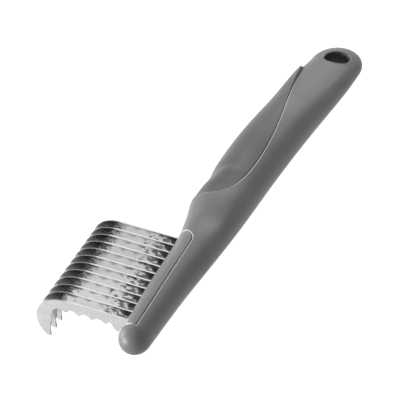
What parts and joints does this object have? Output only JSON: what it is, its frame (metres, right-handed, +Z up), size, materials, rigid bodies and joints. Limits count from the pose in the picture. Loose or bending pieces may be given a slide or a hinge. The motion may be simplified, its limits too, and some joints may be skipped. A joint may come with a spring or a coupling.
{
  "type": "undercoat rake",
  "caption": "Hand-held pet undercoat rake: a rounded moulded handle with a hanging hole and a row of hooked, serrated steel blades along one side of its head.",
  "frame": {"origin": "on the axis of the hanging hole, half way through the butt of the handle", "axes": "+X runs along the handle from the bladed head to the butt, +Y is the side that the blades stand out of, +Z is up through the hanging hole, and the claws point down along -Z"},
  "size_m": [0.1942, 0.0521, 0.018],
  "materials": {
    "handle_plastic": "satin moulded grey plastic",
    "grip_plastic": "satin moulded grey plastic, slightly softer sheen",
    "strip_plastic": "satin moulded grey plastic, a shade lighter",
    "blade_steel": "ground and polished stainless sheet",
    "fastener_steel": "plain zinc-plated steel"
  },
  "bodies": {
    "root": {"handle_body": "handle_plastic", "grip_panel": "grip_plastic", "retaining_strip": "strip_plastic", "blade_carrier": "handle_plastic", "blade_01": "blade_steel", "blade_02": "blade_steel", "blade_03": "blade_steel", "blade_04": "blade_steel", "blade_05": "blade_steel", "blade_06": "blade_steel", "blade_07": "blade_steel", "blade_08": "blade_steel", "blade_09": "blade_steel", "blade_10": "blade_steel", "blade_11": "blade_steel", "blade_12": "blade_steel", "blade_rod": "fastener_steel", "rod_push_nuts": "fastener_steel", "carrier_screws": "fastener_steel", "panel_screws": "fastener_steel"}
  },
  "joints": []
}
